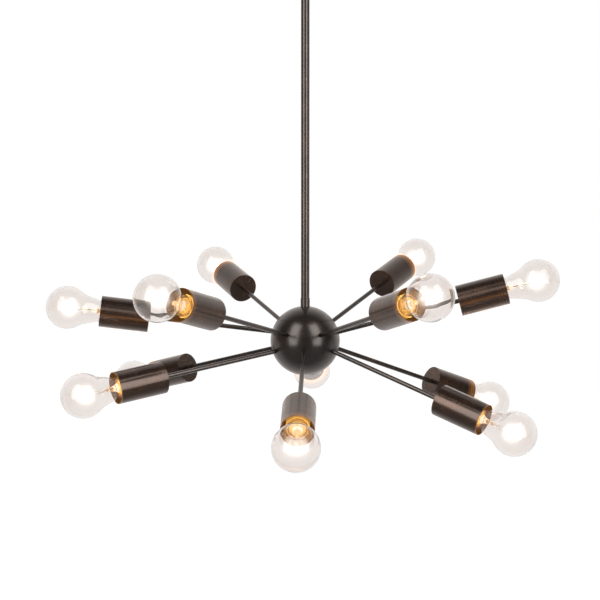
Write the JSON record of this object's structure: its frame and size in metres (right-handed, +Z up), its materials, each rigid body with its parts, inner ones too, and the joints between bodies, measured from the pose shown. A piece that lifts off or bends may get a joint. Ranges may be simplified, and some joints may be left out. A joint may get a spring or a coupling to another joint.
{
  "type": "sputnik chandelier",
  "caption": "Hanging sputnik chandelier: straight arms with open cups and clear bulbs around a ball, on a rod with a swivel canopy.",
  "frame": {"origin": "middle of the mounting strap's top face, on the ceiling plane", "axes": "+Z up into the ceiling, +X along the mounting strap and its slots; the light hangs to -Z"},
  "size_m": [0.7134, 0.7086, 0.8828],
  "materials": {
    "dark_bronze": "satin oil-rubbed bronze",
    "bulb_glass": "clear",
    "porcelain": "glazed",
    "socket_brass": "bright",
    "zinc_steel": "zinc plated",
    "wire_insulation": "matte",
    "cable_jacket": "matte",
    "wire_nut_shell": "moulded"
  },
  "bodies": {
    "ceiling": {"mounting_strap": "zinc_steel", "strap_screws": "zinc_steel", "cap_nuts": "dark_bronze", "ceiling_canopy": "dark_bronze", "supply_leads": "wire_insulation", "wire_nuts": "wire_nut_shell"},
    "swivel": {"swivel_yoke": "dark_bronze", "swivel_lock_nut": "zinc_steel", "swivel_pivots": "dark_bronze", "swivel_cable": "cable_jacket"},
    "fixture": {"swivel_tongue": "dark_bronze", "stem_rods": "dark_bronze", "hollow_nipples": "zinc_steel", "stem_cable": "cable_jacket", "hub_collar": "dark_bronze", "hub_lid": "dark_bronze", "hub_bridge": "zinc_steel", "hub_nut": "zinc_steel", "hub_shell": "dark_bronze", "hub_splice": "cable_jacket", "arm_leads": "wire_insulation", "arm_nuts": "zinc_steel", "socket_bodies": "porcelain", "socket_terminals": "socket_brass", "arm_01": "dark_bronze", "arm_02": "dark_bronze", "arm_03": "dark_bronze", "arm_04": "dark_bronze", "arm_05": "dark_bronze", "arm_06": "dark_bronze", "arm_07": "dark_bronze", "arm_08": "dark_bronze", "arm_09": "dark_bronze", "arm_10": "dark_bronze", "arm_11": "dark_bronze", "arm_12": "dark_bronze", "cup_01": "dark_bronze", "cup_02": "dark_bronze", "cup_03": "dark_bronze", "cup_04": "dark_bronze", "cup_05": "dark_bronze", "cup_06": "dark_bronze", "cup_07": "dark_bronze", "cup_08": "dark_bronze", "cup_09": "dark_bronze", "cup_10": "dark_bronze", "cup_11": "dark_bronze", "cup_12": "dark_bronze"},
    "bulb_01": {"bulb_01": "bulb_glass"},
    "bulb_02": {"bulb_02": "bulb_glass"},
    "bulb_03": {"bulb_03": "bulb_glass"},
    "bulb_04": {"bulb_04": "bulb_glass"},
    "bulb_05": {"bulb_05": "bulb_glass"},
    "bulb_06": {"bulb_06": "bulb_glass"},
    "bulb_07": {"bulb_07": "bulb_glass"},
    "bulb_08": {"bulb_08": "bulb_glass"},
    "bulb_09": {"bulb_09": "bulb_glass"},
    "bulb_10": {"bulb_10": "bulb_glass"},
    "bulb_11": {"bulb_11": "bulb_glass"},
    "bulb_12": {"bulb_12": "bulb_glass"}
  },
  "joints": [
    {"name": "swivel_turn", "type": "hinge", "parent": "ceiling", "child": "swivel", "pos_m": [0, 0, -0.0442], "axis": [0, 0, 1], "range_deg": [-170, 170]},
    {"name": "stem_tilt", "type": "hinge", "parent": "swivel", "child": "fixture", "pos_m": [0, 0, -0.0442], "axis": [1, 0, 0], "range_deg": [-45, 45]},
    {"name": "unscrew_01", "type": "slide", "parent": "fixture", "child": "bulb_01", "axis": [0.9656, -0.0253, 0.2588], "range_m": [0, 0.026]},
    {"name": "unscrew_02", "type": "slide", "parent": "fixture", "child": "bulb_02", "axis": [0.4898, 0.8152, 0.309], "range_m": [0, 0.026]},
    {"name": "unscrew_03", "type": "slide", "parent": "fixture", "child": "bulb_03", "axis": [-0.4683, 0.8448, 0.2588], "range_m": [0, 0.026]},
    {"name": "unscrew_04", "type": "slide", "parent": "fixture", "child": "bulb_04", "axis": [-0.9778, -0.1636, 0.1305], "range_m": [0, 0.026]},
    {"name": "unscrew_05", "type": "slide", "parent": "fixture", "child": "bulb_05", "axis": [-0.4986, -0.8299, 0.2504], "range_m": [0, 0.026]},
    {"name": "unscrew_06", "type": "slide", "parent": "fixture", "child": "bulb_06", "axis": [0.4902, -0.8323, 0.2588], "range_m": [0, 0.026]},
    {"name": "unscrew_07", "type": "slide", "parent": "fixture", "child": "bulb_07", "axis": [0.8097, 0.4769, -0.342], "range_m": [0, 0.026]},
    {"name": "unscrew_08", "type": "slide", "parent": "fixture", "child": "bulb_08", "axis": [-0.0168, 0.9635, -0.2672], "range_m": [0, 0.026]},
    {"name": "unscrew_09", "type": "slide", "parent": "fixture", "child": "bulb_09", "axis": [-0.812, 0.5273, -0.2504], "range_m": [0, 0.026]},
    {"name": "unscrew_10", "type": "slide", "parent": "fixture", "child": "bulb_10", "axis": [-0.8352, -0.5321, -0.1392], "range_m": [0, 0.026]},
    {"name": "unscrew_11", "type": "slide", "parent": "fixture", "child": "bulb_11", "axis": [0.0168, -0.9635, -0.2672], "range_m": [0, 0.026]},
    {"name": "unscrew_12", "type": "slide", "parent": "fixture", "child": "bulb_12", "axis": [0.8318, -0.4611, -0.309], "range_m": [0, 0.026]}
  ]
}
